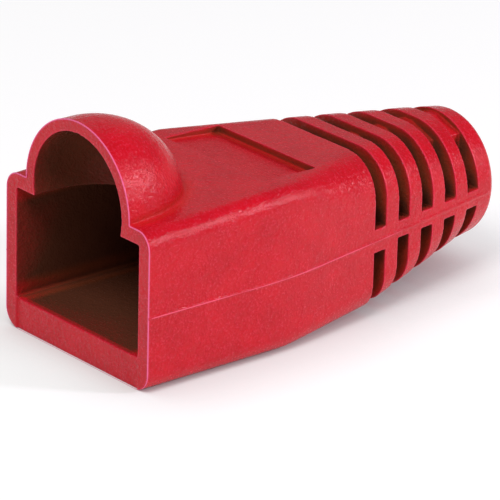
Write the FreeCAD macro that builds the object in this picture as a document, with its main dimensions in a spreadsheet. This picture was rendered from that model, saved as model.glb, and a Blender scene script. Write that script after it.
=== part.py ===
import FreeCAD, Part
import math
import os
import Sketcher

# Slotted strain relief boot for an 8-way modular plug, moulded in one piece.
# Frame: millimetres, +Z up. The plug mouth faces -Y and the cable leaves at +Y.
# X = 0 is the plane of symmetry and Z = 0 is the flat underside that it rests on.
# Inside the body, stations are distances behind the mouth face along +Y. The body
# is then placed so that the middle of its length is at the origin.

NODE = "strain_relief_boot"
QUARTER_TURN = math.pi / 2

# name: (value, what it is)
SIZES = {
    "body_width": (13.7, "outside width of the socket end"),
    "body_length": (29.8, "whole length, mouth face to cable end"),
    "mouth_height": (10.0, "outside height at the mouth, below the hood"),
    "bend_height": (10.4, "outside height where the taper starts"),
    "bend_station": (11.0, "station where the taper starts"),
    "upper_corner": (1.1, "radius of the socket end's long upper corners"),
    "lower_corner": (1.2, "radius of the socket end's long lower corners"),
    "waist_width": (11.6, "outside width at the first slot"),
    "waist_top": (10.2, "highest point of the outside at the first slot"),
    "waist_bottom": (0.35, "lowest point of the outside at the first slot"),
    "waist_upper_corner": (2.6, "upper corner radius at the first slot"),
    "waist_lower_corner": (1.7, "lower corner radius at the first slot"),
    "tail_width": (8.05, "outside diameter of the cable end"),
    "tail_rim": (0.7, "rounding of the cable end's outer rim"),
    "side_wall": (0.97, "side wall of the socket"),
    "roof_wall": (0.9, "roof of the socket"),
    "floor_wall": (2.05, "thick floor of the socket"),
    "socket_depth": (11.0, "depth of the square socket"),
    "socket_corner": (0.15, "radius of the socket's long corners"),
    "lead_in_run": (0.4, "length of the slope at the front of the floor"),
    "lead_in_drop": (0.12, "drop of the slope at the front of the floor"),
    "floor_setback": (0.12, "how far the floor's front face lies behind the side walls'"),
    "bore_height": (5.5, "height of the bore's axis"),
    "bore_radius": (3.1, "radius of the cable bore"),
    "throat_lead": (0.7, "how far before the first slot the funnel meets the bore"),
    "throat_step": (0.25, "step in from each side of the funnel's end to the bore"),
    "round_flat": (0.2, "flat left between the corners of the nearly round sections"),
    "hood_radius": (4.95, "outside radius of the latch hood"),
    "hood_wall": (0.74, "wall of the latch hood"),
    "hood_straight": (1.0, "straight run of the hood behind the mouth"),
    "hood_length": (6.75, "station of the back of the hood"),
    "recess_start": (10.35, "station of the recess's front edge"),
    "recess_length": (4.1, "length of the recess"),
    "recess_width": (9.2, "width of the recess"),
    "recess_front_depth": (0.22, "depth of the recess at its front edge"),
    "recess_depth": (0.5, "depth of the recess at its back edge"),
    "slot_width": (1.05, "width of a slot along the body"),
    "slot_pitch": (2.2, "spacing of the slots"),
    "slot_count": (5, "slots along the body"),
    "end_ring": (1.65, "length of the solid ring behind the last slot"),
    "seam_height": (4.8, "height of the parting line on the socket end"),
    "seam_tail_height": (5.3, "height of the parting line at the cable end"),
    "seam_thickness": (0.14, "thickness of the bead on the parting line"),
    "seam_rise": (0.05, "how far the bead stands out"),
    "upper_slot_floor": (5.75, "height where the upper slots stop at the sides"),
    "lower_slot_roof": (4.65, "height where the lower slots stop at the sides"),
    "first_roof_drop": (0.4, "how much lower the first lower slot stops"),
    "spine_width": (0.6, "width of the flat of the top and bottom spines"),
    "spine_slope": (2.0, "width of the slope at each side of a spine"),
    "spine_fall": (0.7, "fall of the slope at each side of a spine"),
    "spine_top": (9.55, "height of the top spine"),
    "spine_bottom": (1.4, "height of the bottom spine's underside"),
}

# The last edge of the hood's outlines and of the end ring's lies along the axis of the turn.
HOOD_AXIS = "Edge4"
END_RING_AXIS = "Edge5"

# Formulas in the sheet's names that several features share.
SLOTTED = "(Sizes.end_ring + Sizes.slot_width + Sizes.slot_pitch * (Sizes.slot_count - 1))"
SLOT_START = "(Sizes.body_length - " + SLOTTED + ")"
BORE_START = "(" + SLOT_START + " - Sizes.throat_lead)"
SOCKET_WIDTH = "(Sizes.body_width - 2 * Sizes.side_wall)"
SOCKET_TOP = "(Sizes.mouth_height - Sizes.roof_wall)"
NARROWING = "(Sizes.waist_width - Sizes.tail_width) / " + SLOTTED
RING_STATION = "(Sizes.body_length - Sizes.end_ring - Sizes.slot_width / 2)"
RING_WIDTH = "(Sizes.tail_width + (Sizes.end_ring + Sizes.slot_width / 2) * " + NARROWING + ")"

doc = FreeCAD.newDocument(NODE)
sheet = doc.addObject("Spreadsheet::Sheet", "Sizes")
for row, (name, (value, meaning)) in enumerate(SIZES.items(), start=1):
    sheet.set("A%d" % row, name)
    sheet.set("B%d" % row, str(value))
    sheet.set("C%d" % row, meaning)
    sheet.setAlias("B%d" % row, name)
doc.recompute()

body = doc.addObject("PartDesign::Body", NODE)
body.Label = NODE


# ---------------------------------------------------------------- helpers

def number(name):
    """The value that the sheet holds under this name."""
    return float(getattr(sheet, name))


def origin_feature(role):
    """The body's own origin plane or axis with this role."""
    for feature in body.Origin.OriginFeatures:
        if feature.Role == role:
            return feature
    raise ValueError("the body has no " + role)


def cross_section(name, station):
    """An empty sketch in the plane at a station, X to the right and Z up."""
    sketch = body.newObject("Sketcher::SketchObject", name)
    sketch.AttachmentSupport = [(origin_feature("XZ_Plane"), "")]
    sketch.MapMode = "FlatFace"
    sketch.setExpression("AttachmentOffset.Base.z", "-(" + station + ")")
    return sketch


def side_section(name):
    """An empty sketch in the plane of symmetry, Y to the right and Z up."""
    sketch = body.newObject("Sketcher::SketchObject", name)
    sketch.AttachmentSupport = [(origin_feature("YZ_Plane"), "")]
    sketch.MapMode = "FlatFace"
    return sketch


def tie(sketch, kind, refs, formula):
    """Adds a dimension at its value and binds it to a formula in the sheet's names."""
    index = sketch.addConstraint(Sketcher.Constraint(kind, *refs, worth(formula)))
    sketch.setExpression("Constraints[%d]" % index, formula)


def join(sketch, kind, *refs):
    """Adds a constraint that has no size."""
    sketch.addConstraint(Sketcher.Constraint(kind, *refs))


def line(sketch, start, end):
    """Adds a straight line and returns its index."""
    first = FreeCAD.Vector(start[0], start[1], 0)
    last = FreeCAD.Vector(end[0], end[1], 0)
    return sketch.addGeometry(Part.LineSegment(first, last), False)


def loop(sketch, points):
    """Straight lines through the points, joined into a closed outline."""
    lines = []
    for start, end in zip(points, points[1:] + points[:1]):
        lines.append(line(sketch, start, end))
    for this, following in zip(lines, lines[1:] + lines[:1]):
        join(sketch, "Coincident", this, 2, following, 1)
    return lines


def mirrored_outline(sketch, corners):
    """A closed outline that is the same left and right of the plane of symmetry.

    The corners are those of the right half, in order from the bottom round to the
    top, each a formula for its distance from the plane and one for its height.
    """
    right = [(worth(across), worth(height)) for across, height in corners]
    left = [(-across, height) for across, height in reversed(right)]
    lines = loop(sketch, right + left)
    for place, (across, height) in enumerate(corners):
        mirror = len(lines) - 1 - place
        tie(sketch, "DistanceX", (-1, 1, lines[place], 1), across)
        tie(sketch, "DistanceY", (-1, 1, lines[place], 1), height)
        join(sketch, "Symmetric", lines[place], 1, lines[mirror], 1, -2)


def worth(formula):
    """The value of a formula, worked out by the sheet in a spare cell."""
    sheet.set("E1", "=" + formula.replace("Sizes.", ""))
    doc.recompute([sheet])
    return float(sheet.get("E1"))


def rounded_outline(sketch, width, bottom, top, lower_radius, upper_radius):
    """A rectangle with rounded corners, centred on the plane of symmetry."""
    half, low, high = worth(width) / 2, worth(bottom), worth(top)
    small, large = worth(lower_radius), worth(upper_radius)
    floor = line(sketch, (small - half, low), (half - small, low))
    right = line(sketch, (half, low + small), (half, high - large))
    roof = line(sketch, (half - large, high), (large - half, high))
    left = line(sketch, (-half, high - large), (-half, low + small))
    sides = [floor, right, roof, left]
    centres = [
        (half - small, low + small, small, 3),
        (half - large, high - large, large, 0),
        (large - half, high - large, large, 1),
        (small - half, low + small, small, 2),
    ]
    arcs = []
    for across, height, radius, quarter in centres:
        circle = Part.Circle(FreeCAD.Vector(across, height, 0), FreeCAD.Vector(0, 0, 1), radius)
        start = quarter * QUARTER_TURN
        arcs.append(sketch.addGeometry(Part.ArcOfCircle(circle, start, start + QUARTER_TURN), False))
    for before, arc, after in zip(sides, arcs, sides[1:] + sides[:1]):
        join(sketch, "Tangent", before, 2, arc, 1)
        join(sketch, "Tangent", arc, 2, after, 1)
    join(sketch, "Vertical", right)
    join(sketch, "Horizontal", roof)
    join(sketch, "Vertical", left)
    join(sketch, "Equal", arcs[0], arcs[3])
    join(sketch, "Equal", arcs[1], arcs[2])
    join(sketch, "Symmetric", floor, 1, floor, 2, -2)
    tie(sketch, "Radius", (arcs[0],), lower_radius)
    tie(sketch, "Radius", (arcs[1],), upper_radius)
    tie(sketch, "DistanceX", (left, 1, right, 1), width)
    tie(sketch, "DistanceY", (-1, 1, floor, 1), bottom)
    tie(sketch, "DistanceY", (-1, 1, roof, 1), top)


def loft(kind, name, sketches):
    """A straight-sided loft through the sketches, added or cut."""
    feature = body.newObject(kind, name)
    feature.Profile = sketches[0]
    feature.Sections = sketches[1:]
    feature.Ruled = True
    return feature


def turn(kind, name, sketch, axis):
    """A full turn of a sketch about one of its own lines, added or cut."""
    feature = body.newObject(kind, name)
    feature.Profile = sketch
    feature.ReferenceAxis = (sketch, [axis])
    feature.Angle = 360
    return feature


def pocket(name, sketch, depth):
    """Cuts a sketch's outline away from its plane towards the cable end."""
    feature = body.newObject("PartDesign::Pocket", name)
    feature.Profile = sketch
    feature.setExpression("Length", depth)
    return feature


def row_of_slots(name, first, count):
    """Repeats a slot along the body at the slot spacing."""
    feature = body.newObject("PartDesign::LinearPattern", name)
    feature.Originals = [first]
    feature.Direction = (origin_feature("Y_Axis"), [""])
    feature.setExpression("Length", "Sizes.slot_pitch * (" + count + " - 1)")
    feature.setExpression("Occurrences", count)
    body.Tip = feature
    return feature


def checked(feature, grows):
    """Makes sure that the last feature added or took material as it should."""
    doc.recompute()
    volume = body.Shape.Volume
    if "Invalid" in feature.State or "Error" in feature.State:
        raise ValueError(feature.Name + " failed")
    change = volume - checked.volume
    if (change > 0) != grows or abs(change) < 0.01:
        raise ValueError("%s changed the volume by %.3f" % (feature.Name, change))
    checked.volume = volume
    print("%-22s %+9.2f mm3" % (feature.Name, change))
    return feature


checked.volume = 0.0


# ---------------------------------------------------------------- outside

def add_outer_form():
    """The nearly square socket end, and the taper that runs into the round end ring."""
    mouth = cross_section("MouthOutline", "0")
    rounded_outline(mouth, "Sizes.body_width", "0", "Sizes.mouth_height",
                    "Sizes.lower_corner", "Sizes.upper_corner")
    bend = cross_section("BendOutline", "Sizes.bend_station")
    rounded_outline(bend, "Sizes.body_width", "0", "Sizes.bend_height",
                    "Sizes.lower_corner", "Sizes.upper_corner")
    waist = cross_section("WaistOutline", SLOT_START)
    rounded_outline(waist, "Sizes.waist_width", "Sizes.waist_bottom", "Sizes.waist_top",
                    "Sizes.waist_lower_corner", "Sizes.waist_upper_corner")
    ring = cross_section("RingOutline", RING_STATION)
    half = "(" + RING_WIDTH + ") / 2"
    corner = half + " - Sizes.round_flat / 2"
    rounded_outline(ring, RING_WIDTH, "Sizes.bore_height - " + half, "Sizes.bore_height + " + half,
                    corner, corner)
    checked(loft("PartDesign::AdditiveLoft", "OuterForm", [mouth, bend, waist, ring]), True)


def add_end_ring():
    """The round ring at the cable end, turned about the bore's axis, with a rounded rim."""
    sketch = side_section("EndRingOutline")
    front, end = worth(RING_STATION), number("body_length")
    centre, rim = worth("Sizes.bore_height"), number("tail_rim")
    wide = centre + worth(RING_WIDTH) / 2
    narrow = centre + number("tail_width") / 2
    face = line(sketch, (front, centre), (front, wide))
    side = line(sketch, (front, wide), (end - rim, narrow))
    middle = FreeCAD.Vector(end - 0.3 * rim, narrow - 0.3 * rim, 0)
    arc = Part.Arc(FreeCAD.Vector(end - rim, narrow, 0), middle, FreeCAD.Vector(end, narrow - rim, 0))
    rounding = sketch.addGeometry(arc, False)
    back = line(sketch, (end, narrow - rim), (end, centre))
    axis = line(sketch, (end, centre), (front, centre))
    join(sketch, "Coincident", face, 2, side, 1)
    join(sketch, "Tangent", side, 2, rounding, 2)
    join(sketch, "Tangent", rounding, 1, back, 1)
    join(sketch, "Coincident", back, 2, axis, 1)
    join(sketch, "Coincident", axis, 2, face, 1)
    join(sketch, "Vertical", face)
    join(sketch, "Vertical", back)
    join(sketch, "Horizontal", axis)
    tie(sketch, "DistanceX", (-1, 1, face, 1), RING_STATION)
    tie(sketch, "DistanceY", (-1, 1, face, 1), "Sizes.bore_height")
    tie(sketch, "DistanceY", (face, 1, face, 2), "(" + RING_WIDTH + ") / 2")
    tie(sketch, "DistanceX", (-1, 1, back, 2), "Sizes.body_length")
    tie(sketch, "Radius", (rounding,), "Sizes.tail_rim")
    tie(sketch, "Angle", (side,), "-atan(" + NARROWING + " / 2)")
    checked(turn("PartDesign::Revolution", "EndRing", sketch, END_RING_AXIS), True)


def seam_section(name, station, width, height):
    """One section of the thin plate whose edge is the bead on the parting line."""
    sketch = cross_section(name, station)
    across = width + " / 2 + Sizes.seam_rise"
    mirrored_outline(sketch, [
        (across, height + " - Sizes.seam_thickness / 2"),
        (across, height + " + Sizes.seam_thickness / 2"),
    ])
    return sketch


def add_seam():
    """The bead left along both sides where the two halves of the mould meet."""
    rise = "(Sizes.seam_tail_height - Sizes.seam_height)"
    run = "(Sizes.body_length - Sizes.bend_station)"
    waist_run = "(" + SLOT_START + " - Sizes.bend_station)"
    waist_height = "(Sizes.seam_height + " + rise + " * " + waist_run + " / " + run + ")"
    sections = [
        seam_section("SeamAtMouth", "0", "Sizes.body_width", "Sizes.seam_height"),
        seam_section("SeamAtBend", "Sizes.bend_station", "Sizes.body_width", "Sizes.seam_height"),
        seam_section("SeamAtWaist", SLOT_START, "Sizes.waist_width", waist_height),
        seam_section("SeamAtTail", "Sizes.body_length - Sizes.tail_rim",
                     "(Sizes.tail_width + Sizes.tail_rim * " + NARROWING + ")",
                     "Sizes.seam_tail_height"),
    ]
    checked(loft("PartDesign::AdditiveLoft", "Seam", sections), True)


def add_hood():
    """The half-round hood over the plug's latch: a straight run, then an elliptical fall."""
    sketch = side_section("HoodOutline")
    axis, high = number("mouth_height"), worth("Sizes.mouth_height + Sizes.hood_radius")
    run, end = number("hood_straight"), number("hood_length")
    front = line(sketch, (0, axis), (0, high))
    crest = line(sketch, (0, high), (run, high))
    base = line(sketch, (end, axis), (0, axis))
    ellipse = Part.Ellipse(FreeCAD.Vector(end, axis, 0), FreeCAD.Vector(run, high, 0),
                           FreeCAD.Vector(run, axis, 0))
    fall = sketch.addGeometry(Part.ArcOfEllipse(ellipse, 0, QUARTER_TURN), False)
    sketch.exposeInternalGeometry(fall)
    long_axis = fall + 1
    join(sketch, "Coincident", front, 2, crest, 1)
    join(sketch, "Coincident", crest, 2, fall, 2)
    join(sketch, "Coincident", fall, 1, base, 1)
    join(sketch, "Coincident", base, 2, front, 1)
    join(sketch, "PointOnObject", front, 1, -2)
    join(sketch, "Vertical", front)
    join(sketch, "Horizontal", crest)
    join(sketch, "Horizontal", base)
    join(sketch, "Horizontal", long_axis)
    join(sketch, "PointOnObject", fall, 3, base)
    join(sketch, "Vertical", fall, 3, crest, 2)
    tie(sketch, "DistanceY", (-1, 1, front, 1), "Sizes.mouth_height")
    tie(sketch, "DistanceY", (front, 1, front, 2), "Sizes.hood_radius")
    tie(sketch, "DistanceX", (crest, 1, crest, 2), "Sizes.hood_straight")
    tie(sketch, "DistanceX", (front, 1, fall, 1), "Sizes.hood_length")
    checked(turn("PartDesign::Revolution", "Hood", sketch, HOOD_AXIS), True)


# ---------------------------------------------------------------- inside

def cut_socket():
    """The square socket that the plug sits in, and the slope and the face at its floor's front."""
    opening = cross_section("SocketOutline", "0")
    rounded_outline(opening, SOCKET_WIDTH, "Sizes.floor_wall", SOCKET_TOP,
                    "Sizes.socket_corner", "Sizes.socket_corner")
    checked(pocket("Socket", opening, "Sizes.socket_depth"), False)

    slope = side_section("LeadInOutline")
    floor, run, drop = number("floor_wall"), number("lead_in_run"), number("lead_in_drop")
    front = line(slope, (0, floor - drop), (0, floor))
    level = line(slope, (0, floor), (run, floor))
    ramp = line(slope, (run, floor), (0, floor - drop))
    join(slope, "Coincident", front, 2, level, 1)
    join(slope, "Coincident", level, 2, ramp, 1)
    join(slope, "Coincident", ramp, 2, front, 1)
    join(slope, "PointOnObject", front, 1, -2)
    join(slope, "Vertical", front)
    join(slope, "Horizontal", level)
    tie(slope, "DistanceY", (-1, 1, level, 1), "Sizes.floor_wall")
    tie(slope, "DistanceY", (front, 1, front, 2), "Sizes.lead_in_drop")
    tie(slope, "DistanceX", (level, 1, level, 2), "Sizes.lead_in_run")
    lead_in = body.newObject("PartDesign::Pocket", "LeadIn")
    lead_in.Profile = slope
    lead_in.Midplane = True
    lead_in.setExpression("Length", SOCKET_WIDTH + " - 2 * Sizes.socket_corner")
    checked(lead_in, False)

    face = cross_section("FloorFaceOutline", "0")
    half = SOCKET_WIDTH + " / 2"
    mirrored_outline(face, [(half, "-Sizes.floor_wall"), (half, "Sizes.floor_wall")])
    checked(pocket("FloorFace", face, "Sizes.floor_setback"), False)


def cut_funnel_and_bore():
    """The funnel, whose sides close in on the cable as the outside tapers, and the bore."""
    plan = body.newObject("Sketcher::SketchObject", "FunnelOutline")
    plan.AttachmentSupport = [(origin_feature("XY_Plane"), "")]
    plan.MapMode = "FlatFace"
    plan.setExpression("AttachmentOffset.Base.z", "Sizes.floor_wall")
    mirrored_outline(plan, [
        (SOCKET_WIDTH + " / 2", "Sizes.socket_depth"),
        ("Sizes.bore_radius + Sizes.throat_step", BORE_START),
    ])
    funnel = pocket("Funnel", plan, SOCKET_TOP + " - Sizes.floor_wall")
    funnel.Reversed = True
    checked(funnel, False)

    circle = cross_section("BoreOutline", BORE_START)
    middle = FreeCAD.Vector(0, number("bore_height"), 0)
    ring = Part.Circle(middle, FreeCAD.Vector(0, 0, 1), number("bore_radius"))
    bore_circle = circle.addGeometry(ring, False)
    join(circle, "PointOnObject", bore_circle, 3, -2)
    tie(circle, "DistanceY", (-1, 1, bore_circle, 3), "Sizes.bore_height")
    tie(circle, "Radius", (bore_circle,), "Sizes.bore_radius")
    checked(pocket("Bore", circle, SLOTTED + " + Sizes.throat_lead"), False)


def cut_hood_space():
    """The hollow of the hood: a straight run closed by a dome, open into the socket."""
    radius = "(Sizes.hood_radius - Sizes.hood_wall)"
    end = "(Sizes.hood_length - Sizes.hood_wall)"
    sketch = side_section("HoodSpaceOutline")
    axis, reach, back = number("mouth_height"), worth(radius), worth(end)
    front = line(sketch, (0, axis), (0, axis + reach))
    crest = line(sketch, (0, axis + reach), (back - reach, axis + reach))
    base = line(sketch, (back, axis), (0, axis))
    circle = Part.Circle(FreeCAD.Vector(back - reach, axis, 0), FreeCAD.Vector(0, 0, 1), reach)
    dome = sketch.addGeometry(Part.ArcOfCircle(circle, 0, QUARTER_TURN), False)
    join(sketch, "Coincident", front, 2, crest, 1)
    join(sketch, "Tangent", crest, 2, dome, 2)
    join(sketch, "Coincident", dome, 1, base, 1)
    join(sketch, "Coincident", base, 2, front, 1)
    join(sketch, "PointOnObject", front, 1, -2)
    join(sketch, "PointOnObject", dome, 3, base)
    join(sketch, "Vertical", front)
    join(sketch, "Horizontal", crest)
    join(sketch, "Horizontal", base)
    tie(sketch, "DistanceY", (-1, 1, front, 1), "Sizes.mouth_height")
    tie(sketch, "DistanceY", (front, 1, front, 2), radius)
    tie(sketch, "DistanceX", (front, 1, dome, 1), end)
    checked(turn("PartDesign::Groove", "HoodSpace", sketch, HOOD_AXIS), False)


# ---------------------------------------------------------------- bend relief

def slot_section(name, station, side_height, spine_height, far_height):
    """One slot seen along the body: open from side to side over a spine.

    The slot runs from the side webs at side_height to far_height, which is clear of
    the body, and passes over the spine that is left in the middle.
    """
    upper = worth(far_height) > worth(side_height)
    fall = " - Sizes.spine_fall" if upper else " + Sizes.spine_fall"
    flat = "Sizes.spine_width / 2"
    foot = "(" + flat + " + Sizes.spine_slope)"
    sketch = cross_section(name, station)
    corners = [
        (flat, spine_height),
        (foot, spine_height + fall),
        (foot, side_height),
        ("Sizes.body_width", side_height),
        ("Sizes.body_width", far_height),
    ]
    if not upper:
        corners.reverse()
    mirrored_outline(sketch, corners)
    return sketch


def cut_slots():
    """The slots of the bend relief, cut from above and from below as far as the side webs."""
    above = "Sizes.mouth_height + Sizes.hood_radius"
    below = "0"
    next_station = SLOT_START + " + Sizes.slot_pitch"

    upper = slot_section("UpperSlotOutline", SLOT_START,
                         "Sizes.upper_slot_floor", "Sizes.spine_top", above)
    upper_slot = checked(pocket("UpperSlot", upper, "Sizes.slot_width"), False)
    checked(row_of_slots("UpperSlots", upper_slot, "Sizes.slot_count"), False)

    first = slot_section("FirstLowerSlotOutline", SLOT_START,
                         "Sizes.lower_slot_roof - Sizes.first_roof_drop", "Sizes.spine_bottom", below)
    checked(pocket("FirstLowerSlot", first, "Sizes.slot_width"), False)
    lower = slot_section("LowerSlotOutline", next_station,
                         "Sizes.lower_slot_roof", "Sizes.spine_bottom", below)
    lower_slot = checked(pocket("LowerSlot", lower, "Sizes.slot_width"), False)
    checked(row_of_slots("LowerSlots", lower_slot, "(Sizes.slot_count - 1)"), False)


def cut_recess():
    """The bare recess in the top, whose floor falls towards its back edge."""
    rise = "(Sizes.bend_height - Sizes.mouth_height) / Sizes.bend_station"
    slope = "(Sizes.bend_height - Sizes.waist_top) / (" + SLOT_START + " - Sizes.bend_station)"
    end = "(Sizes.recess_start + Sizes.recess_length)"
    fall = "(" + end + " - Sizes.bend_station) * " + slope
    front_floor = "(Sizes.mouth_height + Sizes.recess_start * " + rise + " - Sizes.recess_front_depth)"
    back_floor = "(Sizes.bend_height - " + fall + " - Sizes.recess_depth)"
    sketch = side_section("RecessOutline")
    start, stop = worth("Sizes.recess_start"), worth(end)
    shallow, deep, high = worth(front_floor), worth(back_floor), worth("Sizes.bend_height")
    floor, back, cover, front = loop(
        sketch, [(start, shallow), (stop, deep), (stop, high), (start, high)])
    join(sketch, "Vertical", back)
    join(sketch, "Horizontal", cover)
    join(sketch, "Vertical", front)
    tie(sketch, "DistanceX", (-1, 1, floor, 1), "Sizes.recess_start")
    tie(sketch, "DistanceY", (-1, 1, floor, 1), front_floor)
    tie(sketch, "DistanceX", (-1, 1, floor, 2), end)
    tie(sketch, "DistanceY", (-1, 1, floor, 2), back_floor)
    tie(sketch, "DistanceY", (-1, 1, cover, 1), "Sizes.bend_height")
    recess = body.newObject("PartDesign::Pocket", "Recess")
    recess.Profile = sketch
    recess.Midplane = True
    recess.setExpression("Length", "Sizes.recess_width")
    checked(recess, False)


# ---------------------------------------------------------------- build

add_outer_form()
add_end_ring()
add_seam()
add_hood()
cut_socket()
cut_funnel_and_bore()
cut_hood_space()
cut_recess()
cut_slots()

body.setExpression("Placement.Base.y", "-Sizes.body_length / 2")
sheet.clear("E1")
doc.recompute()

for item in doc.Objects:
    if "Invalid" in item.State or "Error" in item.State:
        raise ValueError(item.Name + " did not compute")
if body.Shape.isNull() or not body.Shape.isValid() or len(body.Shape.Solids) != 1:
    raise ValueError("the boot is not one valid solid")

os.makedirs("parts", exist_ok=True)
body.Shape.exportStep("parts/" + body.Label + ".step")
print("volume %.1f mm3" % body.Shape.Volume)
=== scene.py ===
"""Looks of the slotted strain relief boot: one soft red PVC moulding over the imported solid.

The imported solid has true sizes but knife-sharp edges. Here it is dressed as the moulding that
comes out of the tool: every edge is softened, the flash left at the mouth and along the parting
line is added, and the surface gets the tool's fine spark-eroded grain. Lengths are in metres, in
the part's own frame: the mouth faces -Y, the cable leaves at +Y and Z is up.
"""

import logging
import math
from dataclasses import dataclass
from enum import Enum
from typing import ClassVar

import bmesh
import bpy
import numpy as np
from mathutils import Matrix, Vector


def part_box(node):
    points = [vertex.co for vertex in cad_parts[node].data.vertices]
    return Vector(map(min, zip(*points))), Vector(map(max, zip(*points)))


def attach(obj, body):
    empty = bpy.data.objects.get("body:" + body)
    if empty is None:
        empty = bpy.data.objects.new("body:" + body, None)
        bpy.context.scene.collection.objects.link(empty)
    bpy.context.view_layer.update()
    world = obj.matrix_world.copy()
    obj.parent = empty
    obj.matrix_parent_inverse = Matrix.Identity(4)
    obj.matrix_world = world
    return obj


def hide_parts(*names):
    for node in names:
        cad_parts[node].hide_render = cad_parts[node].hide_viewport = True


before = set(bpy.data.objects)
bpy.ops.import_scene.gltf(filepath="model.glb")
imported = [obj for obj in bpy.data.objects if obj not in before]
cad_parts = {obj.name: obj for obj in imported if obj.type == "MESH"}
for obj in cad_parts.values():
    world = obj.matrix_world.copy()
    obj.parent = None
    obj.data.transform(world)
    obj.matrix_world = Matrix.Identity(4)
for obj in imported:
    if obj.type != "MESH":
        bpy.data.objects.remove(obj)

MM = 0.001
NODE = "strain_relief_boot"
BODY = "root"

Colour = tuple[float, float, float]
Socket = bpy.types.NodeSocket

log = logging.getLogger("boot")


class Side(Enum):
    """The two sides of the plane of symmetry."""

    LEFT = -1
    RIGHT = 1


@dataclass(frozen=True)
class Form:
    """The boot's sizes that its pieces follow.

    Seen from above, each side runs straight from the mouth to the waist, draws in along the
    waist, and draws in a little more steeply along the tail. Stations are distances behind
    the mouth.

    Attributes:
        half_width: Half the width from the mouth to the waist.
        side_wall: Thickness of the side walls there.
        mouth_height: Height of the roof at the mouth.
        roof_rise: How much the roof rises from there to the waist.
        hood_radius: Outside radius of the hood.
        hood_straight: Straight run of the hood behind the mouth.
        hood_length: Distance from the mouth to the hood's back.
        waist_start: Station where the waist starts.
        waist_end: Station where it ends.
        waist_half_width: Half the width where it ends.
        tail_end: Station where the straight part of the tail ends.
        tail_half_width: Half the width there.
        bend_reach: How far the rounding of the upright edge at the waist's start spreads,
            either way.
    """

    half_width: float = 6.85 * MM
    side_wall: float = 0.97 * MM
    mouth_height: float = 10.0 * MM
    roof_rise: float = 0.4 * MM
    hood_radius: float = 4.95 * MM
    hood_straight: float = 1.0 * MM
    hood_length: float = 6.75 * MM
    waist_start: float = 11.0 * MM
    waist_end: float = 18.3 * MM
    waist_half_width: float = 5.8 * MM
    tail_end: float = 29.0 * MM
    tail_half_width: float = 4.08 * MM
    bend_reach: float = 2.8 * MM

    @property
    def stations(self) -> tuple[float, float, float, float]:
        """Where each side starts, changes direction twice and ends."""
        return 0.0, self.waist_start, self.waist_end, self.tail_end

    @property
    def roof_slope(self) -> float:
        """How much the roof rises for each unit of length."""
        return self.roof_rise / self.waist_start

    def bend_inset(self, station: np.ndarray) -> np.ndarray:
        """How far a side moves in where the upright edge at the waist's start is rounded.

        Within reach of the edge, it is the waist's slope times the square of what is left of
        the reach, over four times the reach, which meets both straight stretches without a
        step.

        Args:
            station: Distances behind the mouth.

        Returns:
            The distance for each station.
        """
        slope = (self.half_width - self.waist_half_width) / (self.waist_end - self.waist_start)
        left = np.clip(self.bend_reach - np.abs(station - self.waist_start), 0.0, self.bend_reach)
        return slope * left**2 / (4.0 * self.bend_reach)

    def side(self, station: np.ndarray) -> np.ndarray:
        """How far each side lies from the middle.

        It is the straight line between the half widths, less the bend's inset.

        Args:
            station: Distances behind the mouth.

        Returns:
            The distance for each station.
        """
        widths = (self.half_width, self.half_width, self.waist_half_width, self.tail_half_width)
        return np.interp(station, self.stations, widths) - self.bend_inset(station)


# ---------------------------------------------------------------- mesh helpers


def points_of(mesh: bpy.types.Mesh) -> np.ndarray:
    """Reads the points of a mesh.

    Args:
        mesh: The mesh.

    Returns:
        Its points, one row each.
    """
    points = np.empty(3 * len(mesh.vertices), np.float32)
    mesh.vertices.foreach_get("co", points)
    return points.reshape(-1, 3)


def ellipse(half_width: float, half_height: float, count: int) -> np.ndarray:
    """Points on an ellipse, at even steps of the angle.

    Args:
        half_width: Half its size along the first axis.
        half_height: Half its size along the second axis.
        count: How many points.

    Returns:
        The points, two numbers each, with no point twice.
    """
    turn = np.linspace(0.0, 2.0 * np.pi, count, endpoint=False)
    return np.stack([half_width * np.cos(turn), half_height * np.sin(turn)], axis=1)


def swept_grid(
    path: np.ndarray, across: np.ndarray, up: np.ndarray, section: np.ndarray
) -> np.ndarray:
    """Carries a section along a path.

    Point (i, j) of the surface is path point i plus the section's first number times the
    across vector there plus its second number times the up vector there.

    Args:
        path: Points of the path, one row each.
        across: Vectors for the section's first axis, one per path point. Their length
            scales the section.
        up: Vectors for the section's second axis, in the same way.
        section: Points of the section, two numbers each.

    Returns:
        The grid of points, shaped (path points, section points, 3).
    """
    sideways = across[:, None, :] * section[None, :, 0, None]
    upwards = up[:, None, :] * section[None, :, 1, None]
    return path[:, None, :] + sideways + upwards


def tube_mesh(name: str, grid: np.ndarray, closed_path: bool) -> bpy.types.Mesh:
    """Makes a mesh of a grid whose second direction closes on itself.

    Args:
        name: Name of the new mesh.
        grid: Points shaped (along, around, 3).
        closed_path: Whether the first direction closes on itself too. If it doesn't, both
            ends are capped with one face each.

    Returns:
        The new mesh, with its faces pointing outwards.
    """
    along, around, _ = grid.shape
    rows = np.arange(along if closed_path else along - 1)[:, None]
    columns = np.arange(around)[None, :]
    following_row = (rows + 1) % along
    following_column = (columns + 1) % around
    quads = np.stack(
        [
            rows * around + columns,
            rows * around + following_column,
            following_row * around + following_column,
            following_row * around + columns,
        ],
        axis=-1,
    ).reshape(-1, 4)
    faces = quads.tolist()
    if not closed_path:
        faces.append(list(range(around)))
        faces.append(list(range(along * around - 1, (along - 1) * around - 1, -1)))
    mesh = bpy.data.meshes.new(name)
    mesh.from_pydata(grid.reshape(-1, 3).tolist(), [], faces)
    shell = bmesh.new()
    shell.from_mesh(mesh)
    bmesh.ops.recalc_face_normals(shell, faces=shell.faces)
    shell.to_mesh(mesh)
    shell.free()
    mesh.shade_smooth()
    return mesh


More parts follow.
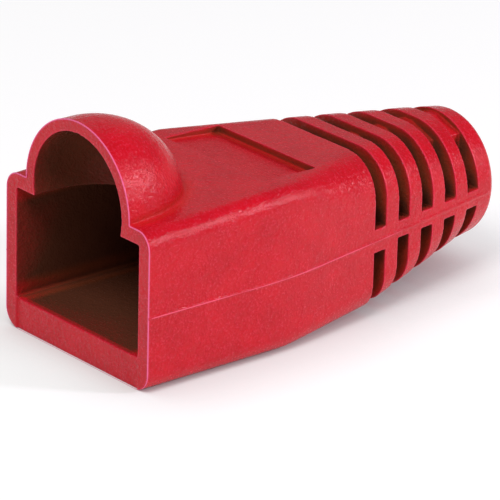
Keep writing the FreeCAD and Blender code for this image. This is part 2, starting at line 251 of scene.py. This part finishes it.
def placed(name: str, mesh: bpy.types.Mesh, material: bpy.types.Material) -> bpy.types.Object:
    """Puts a mesh into the scene as a piece that rides on the boot.

    Args:
        name: Name of the piece.
        mesh: Its mesh, already in the part's frame.
        material: Its finish.

    Returns:
        The new object.
    """
    mesh.materials.clear()
    mesh.materials.append(material)
    piece = bpy.data.objects.new(name, mesh)
    bpy.context.scene.collection.objects.link(piece)
    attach(piece, BODY)
    return piece


# ---------------------------------------------------------------- material helpers


@dataclass(frozen=True)
class Ramp:
    """A straight ramp from one value to another, which is level on both sides of it.

    Attributes:
        low: Input where the ramp starts.
        high: Input where it ends.
        start: Output at low.
        end: Output at high.
    """

    low: float
    high: float
    start: float = 0.0
    end: float = 1.0


class Recipe:
    """A new material in the making, with the nodes that it is mixed from."""

    def __init__(self, name: str) -> None:
        """Starts the material.

        Args:
            name: Name of the material.
        """
        self.material = bpy.data.materials.new(name)
        self.material.use_nodes = True
        self.nodes = self.material.node_tree.nodes
        self.links = self.material.node_tree.links
        self.shader = self.nodes["Principled BSDF"]

    def noise(self, size: float, detail: float, roughness: float) -> Socket:
        """Adds a noise on Object coordinates.

        Args:
            size: Size of its features.
            detail: How many finer layers it has.
            roughness: Strength of each finer layer against the one before it.

        Returns:
            Its value, from nothing to one.
        """
        place = self.nodes.new("ShaderNodeTexCoord").outputs["Object"]
        node = self.nodes.new("ShaderNodeTexNoise")
        node.inputs["Scale"].default_value = 1.0 / size
        node.inputs["Detail"].default_value = detail
        node.inputs["Roughness"].default_value = roughness
        self.links.new(place, node.inputs["Vector"])
        return node.outputs["Fac"]

    def openness(self, reach: float, rays: int, alone: bool, inside: bool = False) -> Socket:
        """Adds a measure of how free the space round each point is.

        Args:
            reach: How far it looks.
            rays: How many directions it looks in.
            alone: Whether only the piece itself counts as in the way.
            inside: Whether it looks behind the surface, into the wall, instead of in front
                of it.

        Returns:
            The share of directions in which nothing is in the way.
        """
        node = self.nodes.new("ShaderNodeAmbientOcclusion")
        node.samples = rays
        node.inside = inside
        node.only_local = alone
        node.inputs["Distance"].default_value = reach
        return node.outputs["AO"]

    def ramped(self, value: Socket, ramp: Ramp) -> Socket:
        """Sends a value through a ramp.

        Args:
            value: The input.
            ramp: The ramp.

        Returns:
            The ramp's output.
        """
        node = self.nodes.new("ShaderNodeMapRange")
        self.links.new(value, node.inputs["Value"])
        node.inputs["From Min"].default_value = ramp.low
        node.inputs["From Max"].default_value = ramp.high
        node.inputs["To Min"].default_value = ramp.start
        node.inputs["To Max"].default_value = ramp.end
        return node.outputs["Result"]

    def combined(self, kind: str, first: Socket, second: Socket) -> Socket:
        """Works out one value from two.

        Args:
            kind: Blender's name for the operation.
            first: One value.
            second: The other value.

        Returns:
            The result.
        """
        node = self.nodes.new("ShaderNodeMath")
        node.operation = kind
        self.links.new(first, node.inputs[0])
        self.links.new(second, node.inputs[1])
        return node.outputs["Value"]

    def mixed(self, factor: Socket, first: Socket | Colour, second: Socket | Colour) -> Socket:
        """Mixes two colours, each a socket or a plain colour.

        Args:
            factor: Share of the second colour.
            first: One colour.
            second: The other colour.

        Returns:
            The mixed colour.
        """
        node = self.nodes.new("ShaderNodeMix")
        node.data_type = "RGBA"
        self.links.new(factor, node.inputs["Factor"])
        for socket, value in zip(self.colours(node.inputs), (first, second)):
            if isinstance(value, bpy.types.NodeSocket):
                self.links.new(value, socket)
            else:
                socket.default_value = (*value, 1.0)
        return self.colours(node.outputs)[0]

    @staticmethod
    def colours(sockets: bpy.types.bpy_prop_collection) -> list[Socket]:
        """The colour sockets of a Mix node, which has sockets of one name for each kind."""
        return [socket for socket in sockets if socket.type == "RGBA"]

    def raised(self, height: Socket, strength: float, distance: float) -> bpy.types.Node:
        """Adds bumps to the surface.

        Args:
            height: Height of the bumps, from nothing to one.
            strength: How strongly they show.
            distance: Their real height.

        Returns:
            The bump node, whose normal is the bumpy surface's.
        """
        node = self.nodes.new("ShaderNodeBump")
        node.inputs["Strength"].default_value = strength
        node.inputs["Distance"].default_value = distance
        self.links.new(height, node.inputs["Height"])
        return node


# ---------------------------------------------------------------- finishes


@dataclass(frozen=True)
class Shelter:
    """Tells open, narrow and inner places apart, for painted shade, by the free space round each
    point.

    The close look finds creases, which have little free space, and the slots' walls, which
    have more of it. The wide look finds the socket and the bore.

    Attributes:
        close_reach: How far the close look goes.
        wide_reach: How far the wide look goes.
        rays: How many directions each look has.
        past_crease: Close free space from a crease to a slot's wall.
        past_slot: Close free space from a slot's wall to the open surface.
        close_lift: Added to the wide look for missing close free space, so that a crease on
            the outside doesn't count as inside.
        slot_lift: Added to it for the slots' walls.
        lit: Wide free space, lifted, from the inside to the outside.
        clear: Close free space from the bottom of a crease to the open surface.
    """

    close_reach: float = 1.2 * MM
    wide_reach: float = 15.0 * MM
    rays: int = 8
    past_crease: Ramp = Ramp(0.66, 0.76)
    past_slot: Ramp = Ramp(0.86, 0.96, 1.0, 0.0)
    close_lift: Ramp = Ramp(0.0, 1.0, 0.46, 0.0)
    slot_lift: Ramp = Ramp(0.0, 1.0, 0.0, 0.12)
    lit: Ramp = Ramp(0.52, 0.70)
    clear: Ramp = Ramp(0.45, 0.9)

    def masks(self, recipe: Recipe) -> tuple[Socket, Socket, Socket, Socket]:
        """Adds the masks to a material.

        Args:
            recipe: The material.

        Returns:
            The close free space, and three masks from nothing to one: the slots' walls, the
            outside as against the inside, and the surface that is clear of any crease.
        """
        close = recipe.openness(self.close_reach, self.rays, alone=True)
        wide = recipe.openness(self.wide_reach, self.rays, alone=True)
        past_crease = recipe.ramped(close, self.past_crease)
        past_slot = recipe.ramped(close, self.past_slot)
        slot = recipe.combined("MINIMUM", past_crease, past_slot)
        close_lift = recipe.ramped(close, self.close_lift)
        lift = recipe.combined("ADD", close_lift, recipe.ramped(slot, self.slot_lift))
        lit = recipe.ramped(recipe.combined("ADD", wide, lift), self.lit)
        return close, slot, lit, recipe.ramped(close, self.clear)


@dataclass(frozen=True)
class MouldedPvc:
    """Soft PVC as it comes out of a spark-eroded tool.

    Attributes:
        name: Name of the material.
        colour: Its red where it is clean and thick.
        pale: The paler red of the grain's tops, and of edges and flash, where it is a painted
            highlight.
        warm: Painted bounce light: the warmer red of creases, whose walls light each other.
        painted_inner_shade: Painted shade: the brown that the boot turns to deep inside the socket
            and the bore.
        painted_crease_shade: Painted shade: the lighter brown of the slots' walls deep inside, and
            of the tightest creases.
        roughness: Roughness of the skin halfway up its grain.
        grain: Size of one grain.
        relief: Height of the grain.
        fleck: How much paler the tops of the grain are, from nothing to one.
    """

    name: str
    colour: Colour
    pale: Colour
    warm: Colour
    painted_inner_shade: Colour
    painted_crease_shade: Colour
    roughness: float
    grain: float
    relief: float
    fleck: float

    SHELTER: ClassVar[Shelter] = Shelter()
    REFRACTIVE_INDEX: ClassVar[float] = 1.5

    # Cloudy patches, which have this much of the colour's brightness.
    CLOUD_SIZE: ClassVar[float] = 2.2 * MM
    CLOUD_SHADE: ClassVar[float] = 0.86
    CLOUDS: ClassVar[Ramp] = Ramp(0.35, 0.65)

    # Coarse grains are this many times as large as fine ones, and their relief this many times
    # as high. The grain turns pale between these two heights.
    COARSE_SIZE: ClassVar[float] = 3.0
    COARSE_RELIEF: ClassVar[float] = 2.0
    COARSE_STRENGTH: ClassVar[float] = 0.5
    FINE_STRENGTH: ClassVar[float] = 0.8
    TOP_FROM: ClassVar[float] = 0.45
    TOP_TO: ClassVar[float] = 0.75

    # Painted highlight on edges: share of the pale red over the free space behind the surface,
    # which is full except at an edge.
    EDGE_HIGHLIGHT_REACH: ClassVar[float] = 0.16 * MM
    EDGE_HIGHLIGHT: ClassVar[Ramp] = Ramp(0.55, 0.95, 0.85, 0.0)

    # Share of painted crease shade, and least roughness, over the close free space.
    CREASE_SHADE: ClassVar[Ramp] = Ramp(0.4, 0.75, 0.8, 0.0)
    CREASE_ROUGHNESS: ClassVar[Ramp] = Ramp(0.55, 0.9, 0.8, 0.0)

    # The roughness swings this much either way between these two heights of the grain, and
    # the specular level runs from sheltered to open surface.
    ROUGHNESS_SWING: ClassVar[float] = 0.1
    SWING_FROM: ClassVar[float] = 0.3
    SWING_TO: ClassVar[float] = 0.7
    SPECULAR: ClassVar[Ramp] = Ramp(0.0, 1.0, 0.03, 0.23)

    def material(self) -> bpy.types.Material:
        """Builds the node material.

        Returns:
            The material, patterned on Object coordinates.
        """
        recipe = Recipe(self.name)
        inputs = recipe.shader.inputs
        fine = recipe.noise(self.grain, detail=2.0, roughness=0.6)
        close, slot, lit, clear = self.SHELTER.masks(recipe)

        body = self.open_colour(recipe, fine)
        # Painted bounce light: creases get the warmer red.
        body = recipe.mixed(clear, self.warm, body)
        # Painted shade: the tightest creases turn brown.
        body = recipe.mixed(recipe.ramped(close, self.CREASE_SHADE), body, self.painted_crease_shade)
        # Painted shade: away from the lit outside, the inside, the bore and the slots' walls turn
        # brown.
        shade = recipe.mixed(slot, self.painted_inner_shade, self.painted_crease_shade)
        recipe.links.new(recipe.mixed(lit, shade, body), inputs["Base Color"])

        low, high = self.roughness - self.ROUGHNESS_SWING, self.roughness + self.ROUGHNESS_SWING
        skin = recipe.ramped(fine, Ramp(self.SWING_FROM, self.SWING_TO, low, high))
        crease = recipe.ramped(close, self.CREASE_ROUGHNESS)
        recipe.links.new(recipe.combined("MAXIMUM", skin, crease), inputs["Roughness"])
        sheen = recipe.ramped(recipe.combined("MINIMUM", lit, clear), self.SPECULAR)
        recipe.links.new(sheen, inputs["Specular IOR Level"])
        inputs["IOR"].default_value = self.REFRACTIVE_INDEX

        recipe.links.new(self.grained(recipe, fine), inputs["Normal"])
        return recipe.material

    def open_colour(self, recipe: Recipe, fine: Socket) -> Socket:
        """The colour of open, lit surface: cloudy, flecked by the grain and with a painted
        highlight at edges.

        Args:
            recipe: The material.
            fine: Height of the fine grain.

        Returns:
            The colour.
        """
        dark = tuple(self.CLOUD_SHADE * part for part in self.colour)
        cloud = recipe.noise(self.CLOUD_SIZE, detail=3.0, roughness=0.55)
        body = recipe.mixed(recipe.ramped(cloud, self.CLOUDS), dark, self.colour)
        tops = recipe.ramped(fine, Ramp(self.TOP_FROM, self.TOP_TO, 0.0, self.fleck))
        body = recipe.mixed(tops, body, self.pale)
        # Painted highlight: edges turn pale.
        behind = recipe.openness(self.EDGE_HIGHLIGHT_REACH, self.SHELTER.rays, alone=True, inside=True)
        return recipe.mixed(recipe.ramped(behind, self.EDGE_HIGHLIGHT), body, self.pale)

    def grained(self, recipe: Recipe, fine: Socket) -> Socket:
        """The grained surface's normal, with fine grain on coarse grain.

        Args:
            recipe: The material.
            fine: Height of the fine grain.

        Returns:
            The normal.
        """
        coarse = recipe.noise(self.COARSE_SIZE * self.grain, detail=2.0, roughness=0.5)
        low = recipe.raised(coarse, self.COARSE_STRENGTH, self.COARSE_RELIEF * self.relief)
        high = recipe.raised(fine, self.FINE_STRENGTH, self.relief)
        recipe.links.new(low.outputs["Normal"], high.inputs["Normal"])
        return high.outputs["Normal"]


SKIN = MouldedPvc(
    name="moulded_red_pvc",
    colour=(0.60, 0.003, 0.013),
    pale=(0.76, 0.035, 0.085),
    # The next three colours are painted light: a bounce-lit red for creases and two browns of
    # painted shade.
    warm=(0.64, 0.016, 0.009),
    painted_inner_shade=(0.108, 0.034, 0.018),
    painted_crease_shade=(0.19, 0.045, 0.018),
    roughness=0.21,
    grain=0.15 * MM,
    relief=0.06 * MM,
    fleck=0.38,
)

MOUTH_FLASH = MouldedPvc(
    name="mouth_flash_pvc",
    # Paler than the body: the real flash bead, partly a painted highlight along it.
    colour=(0.80, 0.06, 0.20),
    pale=(0.88, 0.16, 0.36),
    warm=(0.70, 0.04, 0.12),
    painted_inner_shade=(0.40, 0.03, 0.05),
    painted_crease_shade=(0.40, 0.03, 0.05),
    roughness=0.34,
    grain=0.2 * MM,
    relief=0.004 * MM,
    fleck=0.2,
)

PARTING_FLASH = MouldedPvc(
    name="parting_flash_pvc",
    # Paler than the body: the real flash bead, partly a painted highlight along it.
    colour=(0.70, 0.035, 0.075),
    pale=(0.80, 0.08, 0.16),
    warm=(0.60, 0.03, 0.05),
    painted_inner_shade=(0.40, 0.03, 0.04),
    painted_crease_shade=(0.40, 0.03, 0.04),
    roughness=0.34,
    grain=0.2 * MM,
    relief=0.004 * MM,
    fleck=0.3,
)


# ---------------------------------------------------------------- the boot


@dataclass(frozen=True)
class Moulding:
    """The boot itself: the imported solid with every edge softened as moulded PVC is.

    Attributes:
        form: The boot's sizes.
        joining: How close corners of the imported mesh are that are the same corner.
        cell: Size of the cells that the solid is cut into before it is softened.
        passes: How often each point moves halfway to its neighbours, which sets the radius
            of the softened edges to about cell times the root of passes.
        most_triangles: Triangles of the finished piece.
        foot_reach: How far the fillet at the hood's foot spreads.
        foot_passes: The same as passes, for that fillet.
        foot_levels: In how many steps that fillet fades out.
    """

    form: Form = Form()
    joining: float = 0.001 * MM
    cell: float = 0.05 * MM
    passes: int = 4
    most_triangles: int = 190_000
    foot_reach: float = 0.6 * MM
    foot_passes: int = 50
    foot_levels: int = 8

    HALFWAY: ClassVar[float] = 0.5
    FOOT: ClassVar[str] = "foot"

    def build(self, finish: bpy.types.Material) -> bpy.types.Object:
        """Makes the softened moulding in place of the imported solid.

        Args:
            finish: The moulding's material.

        Returns:
            The finished piece.
        """
        piece = placed("moulded_boot", self.merged_copy(), finish)
        self.finished(piece, "REMESH", mode="VOXEL", voxel_size=self.cell)
        self.finished(piece, "SMOOTH", factor=self.HALFWAY, iterations=self.passes)
        self.mark_foot(piece)
        self.finished(
            piece,
            "SMOOTH",
            factor=self.HALFWAY,
            iterations=self.foot_passes,
            vertex_group=self.FOOT,
        )
        piece.vertex_groups.clear()
        self.ease_bend(piece)
        triangles = 2 * len(piece.data.polygons)
        self.finished(piece, "DECIMATE", ratio=min(1.0, self.most_triangles / triangles))
        piece.data.shade_smooth()
        self.finished(piece, "WEIGHTED_NORMAL", mode="FACE_AREA", weight=50)
        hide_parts(NODE)
        return piece

    def merged_copy(self) -> bpy.types.Mesh:
        """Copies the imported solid's mesh and joins its loose corners.

        Returns:
            The copy.
        """
        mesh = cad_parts[NODE].data.copy()
        shell = bmesh.new()
        shell.from_mesh(mesh)
        bmesh.ops.remove_doubles(shell, verts=shell.verts, dist=self.joining)
        shell.to_mesh(mesh)
        shell.free()
        return mesh

    def finished(self, piece: bpy.types.Object, kind: str, **settings: object) -> None:
        """Adds one modifier to the piece and applies it.

        Args:
            piece: The piece to change.
            kind: Blender's name for the kind of modifier.
            **settings: Values for the modifier.
        """
        modifier = piece.modifiers.new(kind.lower(), kind)
        for name, value in settings.items():
            setattr(modifier, name, value)
        graph = bpy.context.evaluated_depsgraph_get()
        result = bpy.data.meshes.new_from_object(piece.evaluated_get(graph), depsgraph=graph)
        piece.modifiers.clear()
        piece.data = result

    def mark_foot(self, piece: bpy.types.Object) -> None:
        """Weighs the points near the crease where the hood stands on the roof.

        The distance to the crease is the root of the summed squares of the distance to the
        hood's outside, a half circle that shrinks as an ellipse towards its back, and of the
        distance to the roof. The weight falls evenly from one at the crease to nothing at
        foot_reach, and is then rounded up to one of the levels.

        Args:
            piece: The piece to mark, which gets the vertex group "foot".
        """
        form = self.form
        across, along, height = points_of(piece.data).T
        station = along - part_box(NODE)[0].y
        dome = form.hood_length - form.hood_straight
        fall = np.clip((station - form.hood_straight) / dome, 0.0, 1.0)
        outside = form.hood_radius * np.sqrt(1.0 - fall**2)
        roof = form.mouth_height + form.roof_slope * station
        off_hood = np.hypot(across, height - form.mouth_height) - outside
        weight = np.clip(1.0 - np.hypot(off_hood, height - roof) / self.foot_reach, 0.0, 1.0)
        group = piece.vertex_groups.new(name=self.FOOT)
        levels = np.ceil(self.foot_levels * weight).astype(int)
        for level in range(1, self.foot_levels + 1):
            members = np.flatnonzero(levels == level).tolist()
            group.add(members, level / self.foot_levels, "REPLACE")

    def ease_bend(self, piece: bpy.types.Object) -> None:
        """Rounds the upright edge on each side where the waist starts.

        A point moves towards the middle by the bend's inset at its station, in full on the
        outer face, and evenly less across the wall to nothing on the inner face.

        Args:
            piece: The piece whose points move.
        """
        points = points_of(piece.data)
        across, along, _ = points.T
        inset = self.form.bend_inset(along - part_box(NODE)[0].y)
        outer = self.form.half_width
        inner = outer - self.form.side_wall
        share = np.clip((np.abs(across) - inner) / (outer - inner), 0.0, 1.0)
        points[:, 0] = across - np.sign(across) * inset * share
        piece.data.vertices.foreach_set("co", points.ravel())
        piece.data.update()


@dataclass(frozen=True)
class PartingFlash:
    """The hair of flash along both sides, where the halves of the tool close.

    Attributes:
        form: The boot's sizes.
        start: Distance behind the mouth where it starts.
        heights: Height of the parting line at each of the form's stations.
        width: Width of the flash along the side.
        rise: How far it stands out.
        run_out: Length over which it thins out at both ends.
        least: Share of its size that is left at the very ends.
        wavers: How much its size wavers, and the length over which that swings by one radian.
        steps: How many points its path has.
        sides: How many sides its section has.
    """

    form: Form = Form()
    start: float = 0.04 * MM
    heights: tuple[float, ...] = (4.8 * MM, 4.8 * MM, 4.995 * MM, 5.29 * MM)
    width: float = 0.1 * MM
    rise: float = 0.065 * MM
    run_out: float = 0.25 * MM
    least: float = 0.1
    wavers: tuple[tuple[float, float], ...] = ((0.12, 1.7 * MM), (0.08, 0.61 * MM))
    steps: int = 240
    sides: int = 12

    def build(self, side: Side, finish: bpy.types.Material) -> bpy.types.Object:
        """Makes the flash on one side.

        The path follows the boot's side at the height of the parting line, which runs
        straight between the form's stations. The section is an ellipse as wide as the flash
        and twice as deep as its rise, with its middle on the boot's side.

        Args:
            side: The side that it lies on.
            finish: Its material.

        Returns:
            The finished piece.
        """
        stations = np.linspace(self.start, self.form.tail_end, self.steps)
        heights = np.interp(stations, self.form.stations, self.heights)
        out = side.value * self.form.side(stations)
        path = np.stack([out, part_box(NODE)[0].y + stations, heights], axis=1)
        size = self.size(stations)[:, None]
        across = size * np.array([[side.value, 0.0, 0.0]])
        up = size * np.array([[0.0, 0.0, 1.0]])
        grid = swept_grid(path, across, up, ellipse(self.rise, 0.5 * self.width, self.sides))
        name = f"parting_flash_{side.name.lower()}"
        return placed(name, tube_mesh(name, grid, closed_path=False), finish)

    def size(self, stations: np.ndarray) -> np.ndarray:
        """The flash's size along its path, as a share of its full size.

        It is one plus, for each waver, how much it swings times the sine of the station over
        its length. Over the run out at both ends, it falls off as the root of the distance to
        the end.

        Args:
            stations: Distances behind the mouth, from the start to the end.

        Returns:
            The share for each station.
        """
        waver = 1.0 + sum(depth * np.sin(stations / length) for depth, length in self.wavers)
        to_end = np.minimum(stations - stations[0], stations[-1] - stations)
        return waver * np.sqrt(np.clip(to_end / self.run_out, self.least**2, 1.0))


@dataclass(frozen=True)
class MouthFlash:
    """The hair of flash round the mouth's outer edge, where the tool's core plate closes.

    Attributes:
        form: The boot's sizes.
        lower_corner: Radius of the mouth's lower corners.
        upper_corner: Radius of its upper corners.
        inset: How far inside the sharp edge the softened one lies.
        thickness: Thickness of the flash.
        least: Share of the thickness that is left along the bottom edge.
        corner_points: How many points each corner is worked out at.
        arch_points: How many points half the hood is worked out at.
        steps: How many points its path has.
        sides: How many sides its section has.
    """

    form: Form = Form()
    lower_corner: float = 1.2 * MM
    upper_corner: float = 1.1 * MM
    inset: float = 0.02 * MM
    thickness: float = 0.08 * MM
    least: float = 0.25
    corner_points: int = 14
    arch_points: int = 60
    steps: int = 720
    sides: int = 10

    def outline(self) -> np.ndarray:
        """The edge seen from the front, from the bottom's middle round to itself.

        Each corner is an arc. The hood is a half circle about the middle of the flat top.
        The left half is the right half's mirror image.

        Returns:
            Points (x, z) with even steps, with no point twice.
        """
        half, top = self.form.half_width - self.inset, self.form.mouth_height - self.inset
        low, high = self.lower_corner - self.inset, self.upper_corner - self.inset
        hood = self.form.hood_radius - self.inset
        quarter = np.linspace(0.0, 0.5 * np.pi, self.corner_points)
        sine, cosine = np.sin(quarter), np.cos(quarter)
        lower = np.stack([half - low + low * sine, self.inset + low - low * cosine], axis=1)
        upper = np.stack([half - high + high * cosine, top - high + high * sine], axis=1)
        foot = math.asin((top - self.form.mouth_height) / hood)
        swing = np.linspace(foot, 0.5 * np.pi, self.arch_points)
        arch_height = self.form.mouth_height + hood * np.sin(swing)
        arch = np.stack([hood * np.cos(swing), arch_height], axis=1)
        right = np.concatenate([[(0.0, self.inset)], lower, upper, arch])
        left = right[-2:0:-1] * (-1.0, 1.0)
        corners = np.concatenate([right, left, right[:1]])
        lengths = np.linalg.norm(np.diff(corners, axis=0), axis=1)
        reach = np.concatenate([[0.0], np.cumsum(lengths)])
        steps = np.linspace(0.0, reach[-1], self.steps, endpoint=False)
        return np.stack([np.interp(steps, reach, corners[:, axis]) for axis in (0, 1)], axis=1)

    def build(self, finish: bpy.types.Material) -> bpy.types.Object:
        """Makes the flash as a thin round bead carried round the outline.

        The bead thins evenly over the height of the lower corners, to its least share along
        the bottom edge.

        Args:
            finish: Its material.

        Returns:
            The finished piece.
        """
        across, height = self.outline().T
        behind = np.full_like(across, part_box(NODE)[0].y + self.inset)
        path = np.stack([across, behind, height], axis=1)
        along = np.roll(path, -1, axis=0) - np.roll(path, 1, axis=0)
        along /= np.linalg.norm(along, axis=1)[:, None]
        share = np.clip(height / self.lower_corner, 0.0, 1.0)
        size = (self.least + (1.0 - self.least) * share)[:, None]
        outwards = size * np.stack([along[:, 2], np.zeros(len(along)), -along[:, 0]], axis=1)
        backwards = size * np.array([[0.0, 1.0, 0.0]])
        section = ellipse(0.5 * self.thickness, 0.5 * self.thickness, self.sides)
        grid = swept_grid(path, outwards, backwards, section)
        return placed("mouth_flash", tube_mesh("mouth_flash", grid, closed_path=True), finish)


# ---------------------------------------------------------------- studio


def direction(azimuth: float, elevation: float) -> Vector:
    """The direction from the boot to something that stands round it.

    It is the sine and the cosine of the azimuth, both times the cosine of the elevation, and
    the sine of the elevation.

    Args:
        azimuth: Degrees from -Y towards +X.
        elevation: Degrees above the horizon.

    Returns:
        The direction as a unit vector.
    """
    turn, lift = math.radians(azimuth), math.radians(elevation)
    level = math.cos(lift)
    return Vector((math.sin(turn) * level, -math.cos(turn) * level, math.sin(lift)))


@dataclass(frozen=True)
class SoftLamp:
    """One soft box.

    Attributes:
        name: Name of the lamp.
        azimuth: Where it stands, in degrees from -Y towards +X.
        elevation: Its height above the horizon, in degrees.
        distance: Its distance from the boot.
        size: Its edge length.
        power: Its power in watts.
        colour: Its colour.
    """

    name: str
    azimuth: float
    elevation: float
    distance: float
    size: float
    power: float
    colour: Colour = (1.0, 1.0, 1.0)

    def build(self, target: Vector) -> bpy.types.Object:
        """Hangs the lamp so that it faces the target.

        Args:
            target: The point that it faces.

        Returns:
            The lamp.
        """
        away = direction(self.azimuth, self.elevation)
        data = bpy.data.lights.new(self.name, "AREA")
        data.shape = "SQUARE"
        data.size = self.size
        data.energy = self.power
        data.color = self.colour
        lamp = bpy.data.objects.new(self.name, data)
        lamp.location = target + away * self.distance
        lamp.rotation_euler = (-away).to_track_quat("-Z", "Y").to_euler()
        bpy.context.scene.collection.objects.link(lamp)
        return lamp


LAMPS = (
    SoftLamp("key_softbox", azimuth=24.0, elevation=58.0, distance=0.30, size=0.12, power=0.52),
    SoftLamp(
        "glint_softbox",
        azimuth=131.5,
        elevation=25.0,
        distance=0.30,
        size=0.035,
        power=0.50,
        colour=(0.96, 0.88, 1.0),
    ),
    SoftLamp("sheen_softbox", azimuth=228.0, elevation=26.0, distance=0.32, size=0.16, power=0.02),
)


@dataclass(frozen=True)
class Floor:
    """The pale floor, which glows evenly in the open, as under an even white sky.

    Attributes:
        reach: Distance from its middle to its sides.
        shade: How pale it is, from nothing to one.
        roughness: Its roughness.
        specular: Its specular level.
        glow: Strength of its glow in the open. It fades where the boot stands close over it, as a
            painted contact shadow.
        shadow_reach: How close that is.
        rays: How many directions the look for it has.
    """

    reach: float = 1.2
    shade: float = 0.5
    roughness: float = 0.9
    specular: float = 0.1
    glow: float = 0.6
    shadow_reach: float = 6.0 * MM
    rays: int = 16

    def build(self) -> bpy.types.Object:
        """Lays the floor that the boot rests on.

        Returns:
            The floor.
        """
        mesh = bpy.data.meshes.new("floor")
        low, high = -self.reach, self.reach
        corners = [(low, low, 0.0), (high, low, 0.0), (high, high, 0.0), (low, high, 0.0)]
        mesh.from_pydata(corners, [], [(0, 1, 2, 3)])
        mesh.materials.append(self.material())
        floor = bpy.data.objects.new("floor", mesh)
        bpy.context.scene.collection.objects.link(floor)
        return floor

    def material(self) -> bpy.types.Material:
        """Builds the floor's material.

        Returns:
            The material.
        """
        recipe = Recipe("pale_floor")
        inputs = recipe.shader.inputs
        inputs["Base Color"].default_value = (self.shade, self.shade, self.shade, 1.0)
        inputs["Roughness"].default_value = self.roughness
        inputs["Specular IOR Level"].default_value = self.specular
        inputs["Emission Color"].default_value = (1.0, 1.0, 1.0, 1.0)
        # Painted contact shadow: the glow fades where the boot is close.
        openness = recipe.openness(self.shadow_reach, self.rays, alone=False)
        glow = recipe.ramped(openness, Ramp(0.0, 1.0, 0.0, self.glow))
        recipe.links.new(glow, inputs["Emission Strength"])
        return recipe.material


@dataclass(frozen=True)
class Camera:
    """The camera.

    Attributes:
        azimuth: Its direction from the boot, in degrees from -Y towards +X.
        elevation: Its height above the horizon, in degrees.
        roll: Its turn about the line of sight, in degrees.
        eye: Its place.
        focal_length: Its lens, in millimetres.
        sensor: Width of its sensor, in millimetres.
        nearest: The shortest distance at which it sees.
        furthest: The longest distance at which it sees.
    """

    azimuth: float = 49.86
    elevation: float = 21.56
    roll: float = 1.39
    eye: tuple[float, float, float] = (196.08 * MM, -166.90 * MM, 105.15 * MM)
    focal_length: float = 326.4
    sensor: float = 36.0
    nearest: float = 0.01
    furthest: float = 5.0

    def build(self) -> bpy.types.Object:
        """Sets up the camera.

        The line of sight comes from the azimuth and the elevation, and the roll turns the
        camera about it.

        Returns:
            The camera.
        """
        azimuth, roll = math.radians(self.azimuth), math.radians(self.roll)
        back = direction(self.azimuth, self.elevation)
        level = Vector((math.cos(azimuth), math.sin(azimuth), 0.0))
        upright = back.cross(level)
        right = math.cos(roll) * level + math.sin(roll) * upright
        up = -math.sin(roll) * level + math.cos(roll) * upright
        data = bpy.data.cameras.new("camera")
        data.sensor_width = self.sensor
        data.lens = self.focal_length
        data.clip_start = self.nearest
        data.clip_end = self.furthest
        camera = bpy.data.objects.new("camera", data)
        turn = Matrix((right, up, back)).transposed().to_4x4()
        camera.matrix_world = Matrix.Translation(self.eye) @ turn
        bpy.context.scene.collection.objects.link(camera)
        bpy.context.scene.camera = camera
        return camera


@dataclass(frozen=True)
class Studio:
    """A pale floor, soft light and the camera.

    Attributes:
        floor: The floor.
        lamps: The soft boxes.
        camera: The camera.
        aim: Height of the point above the origin that the lamps face.
        room_light: Strength of the room's even white light.
    """

    floor: Floor = Floor()
    lamps: tuple[SoftLamp, ...] = LAMPS
    camera: Camera = Camera()
    aim: float = 5.0 * MM
    room_light: float = 0.18

    def build(self) -> None:
        """Lays the floor, hangs the lamps, lights the room and sets up the camera."""
        self.floor.build()
        for lamp in self.lamps:
            lamp.build(Vector((0.0, 0.0, self.aim)))
        self.light_room()
        self.camera.build()

    def light_room(self) -> None:
        """Gives the room its even, weak light, with colours shown as they are."""
        world = bpy.data.worlds.new("studio")
        bpy.context.scene.world = world
        world.use_nodes = True
        background = world.node_tree.nodes["Background"]
        background.inputs["Color"].default_value = (1.0, 1.0, 1.0, 1.0)
        background.inputs["Strength"].default_value = self.room_light
        bpy.context.scene.view_settings.view_transform = "Standard"


# ---------------------------------------------------------------- build


def main() -> None:
    """Builds every piece in order and reports it."""
    logging.basicConfig(level=logging.INFO, format="%(name)s: %(message)s")
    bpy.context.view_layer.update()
    pieces = [Moulding().build(SKIN.material())]
    seam = PARTING_FLASH.material()
    for side in Side:
        pieces.append(PartingFlash().build(side, seam))
    pieces.append(MouthFlash().build(MOUTH_FLASH.material()))
    for piece in pieces:
        log.info("%s: %d faces", piece.name, len(piece.data.polygons))
    Studio().build()


if __name__ == "__main__":
    main()
